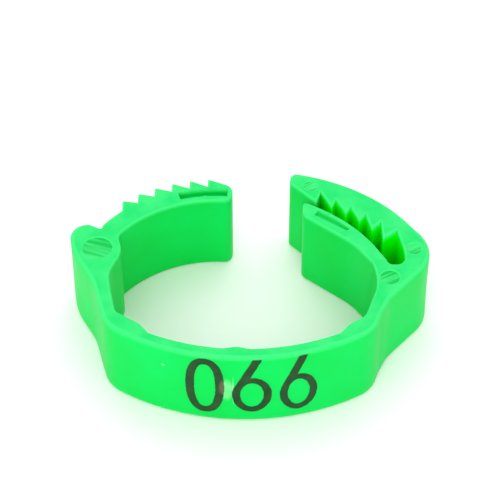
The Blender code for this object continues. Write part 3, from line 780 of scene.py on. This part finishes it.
def dark_ink():
    """Hot-stamped print, thin and a little uneven, browned where it was rubbed beside the nought."""
    material, nodes, links, shader = new_material("dark_ink")
    place = nodes.new("ShaderNodeTexCoord").outputs["Object"]
    cloud = cloudy(nodes, links, place, 900, 4)
    share = ranged(nodes, links, cloud, 0, 1, 0.35, 0.7)
    colour = blend_colours(nodes, links, share, INK_DARK, INK_LIGHT)
    rub = patch(nodes, links, place, on_face(-2.15, 5.0), (0.55, 0.8, 1.3))
    rubbed = ranged(nodes, links, rub, 0, 0.8, 0.0, 0.5)
    colour = blend_colours(nodes, links, rubbed, colour, INK_RUBBED)
    links.new(colour, shader.inputs["Base Color"])
    links.new(ranged(nodes, links, cloud, 0.5, 0.75), shader.inputs["Roughness"])
    bump = nodes.new("ShaderNodeBump")
    bump.inputs["Strength"].default_value = 0.3
    bump.inputs["Distance"].default_value = 0.00001
    links.new(cloud, bump.inputs["Height"])
    links.new(bump.outputs["Normal"], shader.inputs["Normal"])
    shader.inputs["Specular IOR Level"].default_value = 0.15
    return material


def on_face(along, height):
    """A point on the plate's outer face, so far along it from its middle."""
    x, y = polar(PLATE_CENTRE, PLATE_RADIUS, 270 + math.degrees(along / PLATE_RADIUS))
    return (x, y, height)


# Making the pieces

def finish_piece(obj, material):
    obj.data.materials.clear()
    obj.data.materials.append(material)
    smooth(obj)


def mark_cutter(name, centre, radius, lip=0.12):
    """A shallow round dish with an eased floor and a soft upper lip."""
    sides = [(0, -MARK_DEPTH), (radius - 0.06, -MARK_DEPTH), (radius, -MARK_DEPTH * 0.6),
             (radius + lip * 0.3, -MARK_DEPTH * 0.22), (radius + lip, 0.004),
             (radius + lip, 0.4), (0, 0.4)]
    mould = bmesh.new()
    x, y = centre
    verts = [mould.verts.new(((x + out) * MM, y * MM, (HEIGHT + up) * MM)) for out, up in sides]
    line = [mould.edges.new(pair) for pair in zip(verts, verts[1:])]
    bmesh.ops.spin(mould, geom=verts + line, cent=(x * MM, y * MM, 0), axis=(0, 0, 1),
                   angle=2 * math.pi, steps=48, use_merge=True)
    bmesh.ops.remove_doubles(mould, verts=mould.verts, dist=0.001 * MM)
    bmesh.ops.recalc_face_normals(mould, faces=mould.faces)
    return add_object(name, mould)


def gate_nub(name, centre, height, radius):
    """The torn stub where the plastic was fed in."""
    mould = bmesh.new()
    bmesh.ops.create_icosphere(mould, subdivisions=3, radius=radius * MM)
    for vert in mould.verts:
        vert.co *= 1 + 0.35 * noise.noise(vert.co / MM * 2.6)
    bmesh.ops.scale(mould, verts=mould.verts, vec=(1.1, 0.9, 1.2))
    bmesh.ops.translate(mould, verts=mould.verts, vec=in_frame(centre, height))
    return add_object(name, mould)


def floor_faces(obj, centre, radius, material):
    """Give the floor of a round mark its own finish."""
    obj.data.materials.append(material)
    floor = (HEIGHT - MARK_DEPTH) * MM
    for face in obj.data.polygons:
        inside = math.dist(face.center.xy, (centre[0] * MM, centre[1] * MM)) < radius * MM
        if inside and abs(face.center.z - floor) < TINY:
            face.material_index = len(obj.data.materials) - 1


def glow_walls(obj, centre, nearest, farthest, until, material):
    """Give upright walls, by their distance from a centre and up to a bearing, a material that paints in
    a glow of light through the plastic.
    """
    obj.data.materials.append(material)
    for face in obj.data.polygons:
        away = math.dist(face.center.xy, (centre[0] * MM, centre[1] * MM)) / MM
        turn = bearing(centre, (face.center.x / MM, face.center.y / MM))
        if nearest < away < farthest and turn < until and abs(face.normal.z) < 0.3:
            face.material_index = len(obj.data.materials) - 1


def shell(name, outline, splits, bend=None, cuts=6, sinks=(), marks=(), soft_until=40.0):
    """One stretch of the moulding, with its rims rounded and its ends square where it is split.

    It is sliced through each mark, so that no flat face has a hole in it.
    """
    mould = raised(outline)
    add_levels(mould)
    if bend:
        add_bend(mould, *bend, cuts)
    for place, direction in marks:
        slice_across(mould, in_frame(place), direction)
    weigh_rims(mould, splits, soft_until)
    for hollow_place in sinks:
        sink(mould, *hollow_place)
    obj = add_object(name, mould)
    round_rims(obj)
    return obj


left_bend = plan_line(LEFT, LEFT_HEADING, -LEFT_STUB, 2.2)
right_bend = plan_line(RIGHT, RIGHT_HEADING, -RIGHT_STUB, 1.4)
jaw_bend = plan_line(JAW, JAW_HEADING, -0.4, 2.0)
guide_bend = plan_line(GUIDE, GUIDE_HEADING, -0.2, 2.6)
half_neck = NECK_WALL / 2
LEFT_SPLIT = [ahead(LEFT, LEFT_HEADING, -LEFT_STUB, side) for side in (half_neck, -half_neck)]
RIGHT_SPLIT = [ahead(RIGHT, RIGHT_HEADING, -RIGHT_STUB, side) for side in (half_neck, -half_neck)]

# Places of the ejector marks, the directions in which their pieces are sliced, and the shrink hollows
KNUCKLE_MARK = beside(LEFT, (-1.4, 8.65))
ROOT_MARK = beside(RIGHT, (1.55, 4.2))
BEND_MARK = beside(RIGHT, (4.28, 8.53))
TIP_MARK = beside(RIGHT, (-6.4, 18.38))
ALONG = (0, 1, 0)
ACROSS = (-0.95, 0.31, 0)
BOSS_SINK = (polar(BOSS, BOSS_RADIUS, -24), BOSS, 2.6, 0.16)
KNUCKLE_SINK = (beside(LEFT, (-3.9, 7.6)), beside(LEFT, (0, 8.4)), 3.4, 0.18)

plate = shell("number_plate_shell", plate_outline(), [LEFT_SPLIT, RIGHT_SPLIT])
left_arm = shell("left_arm_shell", left_arm_outline(), [LEFT_SPLIT], left_bend, 8,
                 sinks=[KNUCKLE_SINK], marks=[(KNUCKLE_MARK, ALONG)], soft_until=LEFT[1] + 14)
clasp = shell("clasp_root_shell", clasp_root_outline(), [RIGHT_SPLIT, JAW_SPLIT, GUIDE_SPLIT],
              right_bend, sinks=[BOSS_SINK], marks=[(ROOT_MARK, ALONG)])
jaw = shell("toothed_jaw_shell", jaw_outline(), [JAW_SPLIT], jaw_bend, sinks=[BOSS_SINK],
            marks=[(BEND_MARK, ALONG), (TIP_MARK, ACROSS)], soft_until=JAW[1] + 7)
guide = shell("guide_tongue_shell", guide_outline(), [GUIDE_SPLIT], guide_bend, soft_until=-40.0)

# Hollows in the top faces
tongue_pocket = arc(TONGUE_CENTRE, 13.25, 85.0, 107.0) + arc(TONGUE_CENTRE, 14.35, 107.0, 85.0)
guide_pocket = arc(GUIDE_CENTRE, 17.2, 42.2, 56.8)
guide_pocket += [polar(GUIDE_CENTRE, 16.4, 56.8), polar(GUIDE_CENTRE, 16.72, 42.2)]
hollow(left_arm, [mark_cutter("knuckle_mark", KNUCKLE_MARK, 1.62),
                  cutter_over("tongue_pocket", tongue_pocket, 0.8, 0.12)])
hollow(clasp, [mark_cutter("root_mark", ROOT_MARK, 1.05)])
hollow(jaw, [mark_cutter("bend_mark", BEND_MARK, 0.85), mark_cutter("tip_mark", TIP_MARK, 0.8)])
hollow(guide, [cutter_over("guide_pocket", guide_pocket, 0.4, 0.06)])

plastic = green_plastic("green_plastic")
plate_scuffs = [
    (on_face(-1.8, 4.7), (0.75, 0.6, 1.7), 0.85),
    (on_face(-1.15, 4.6), (0.11, 0.5, 2.2), 1.0),
    (on_face(-8.4, 6.9), (0.2, 0.3, 0.2), 0.8),
]
plate_plastic = green_plastic("green_plastic_scuffed", plate_scuffs)
finish_piece(plate, plate_plastic)
for piece in (left_arm, clasp, jaw, guide):
    finish_piece(piece, plastic)
floor_faces(left_arm, KNUCKLE_MARK, 1.5, ejector_floor("pin_streaks", 22, 1500, 0.00012))
nub = gate_nub("gate_nub", polar(TONGUE_CENTRE, 13.5, 95.3), HEIGHT - 0.62, 0.34)
finish_piece(nub, plastic)
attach(nub, "left_arm")
fine_streaks = ejector_floor("pin_streaks_fine", -30, 2600, 0.00004)
floor_faces(clasp, ROOT_MARK, 1.0, fine_streaks)
floor_faces(jaw, BEND_MARK, 0.8, fine_streaks)
floor_faces(jaw, TIP_MARK, 0.75, fine_streaks)
# Painted glow: the channel, the jaw's teeth and the guide's face get a brighter green standing in for
# light shining through the plastic.
painted_glow_plastic = green_plastic("green_plastic_painted_glow", shades=(PAINTED_GLOW_GREEN, PAINTED_GLOW_GREEN))
glow_walls(clasp, CHANNEL, 0, 1.2, 360, painted_glow_plastic)
glow_walls(jaw, JAW_CENTRE, 0, 18.4, 66.5, painted_glow_plastic)
glow_walls(guide, GUIDE_CENTRE, GUIDE_RADIUS - 0.3, 30, 56, painted_glow_plastic)

digits = [
    printed("nought", nought(3.98, 7.85, 0.9), -6.05, 1.15),
    printed("six_centre", six(4.05, 7.6, 5.0, 0.83, 3.02, 0.92), -1.27, 1.5),
    printed("six_right", six(3.9, 7.8, 5.2, 0.8, 2.85, 0.9), 3.6, 1.3),
]
ink = dark_ink()
for digit, node in zip(digits, ("digit_0", "digit_6_centre", "digit_6_right")):
    digit.data.materials.clear()
    digit.data.materials.append(ink)
    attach(digit, "plate")
    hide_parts(node)

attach(plate, "plate")
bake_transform(left_arm)
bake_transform(clasp)
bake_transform(jaw)
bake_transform(guide)
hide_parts("number_plate")
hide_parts("left_neck", "left_knuckle", "ratchet_tongue")
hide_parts("right_neck", "clasp_root")
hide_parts("toothed_jaw")
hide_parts("guide_tongue")


# Floor, light and camera

def pale_floor():
    mould = bmesh.new()
    bmesh.ops.create_grid(mould, x_segments=1, y_segments=1, size=2.0)
    floor = add_object("pale_floor", mould)
    material, nodes, links, shader = new_material("pale_paper")
    shader.inputs["Base Color"].default_value = (0.97, 0.97, 0.97, 1)
    shader.inputs["Roughness"].default_value = 0.9
    shader.inputs["Specular IOR Level"].default_value = 0.1
    floor.data.materials.append(material)


def soft_light(name, place, size, watts):
    lamp = bpy.data.lights.new(name, "AREA")
    lamp.shape = "DISK"
    lamp.size = size
    lamp.energy = watts
    obj = bpy.data.objects.new(name, lamp)
    obj.location = place
    obj.rotation_euler = (-Vector(place)).to_track_quat("-Z", "Y").to_euler()
    bpy.context.scene.collection.objects.link(obj)


pale_floor()
world = bpy.data.worlds.new("studio")
world.use_nodes = True
world.node_tree.nodes["Background"].inputs["Color"].default_value = (1, 1, 1, 1)
world.node_tree.nodes["Background"].inputs["Strength"].default_value = 1.0
bpy.context.scene.world = world
soft_light("back_softbox", (0.0, 0.35, 0.35), 0.5, 0.6)
soft_light("front_softbox", (-0.08, -0.42, 0.22), 0.3, 0.9)

AIM = Vector(((LEFT[0] + RIGHT[0]) / 2 + 0.85, LEFT[1] + 8.2, HEIGHT)) * MM
RISE = math.radians(43.6)
CAMERA_DISTANCE = 0.19747
lens = bpy.data.cameras.new("studio_camera")
lens.sensor_width = 36
lens.lens = 135.07
camera = bpy.data.objects.new("studio_camera", lens)
camera.location = AIM + Vector((0, -math.cos(RISE), math.sin(RISE))) * CAMERA_DISTANCE
camera.rotation_euler = (math.pi / 2 - RISE, 0, 0)
lens.clip_start = 0.01
lens.clip_end = 10
bpy.context.scene.collection.objects.link(camera)
bpy.context.scene.camera = camera
bpy.context.scene.view_settings.view_transform = "Standard"
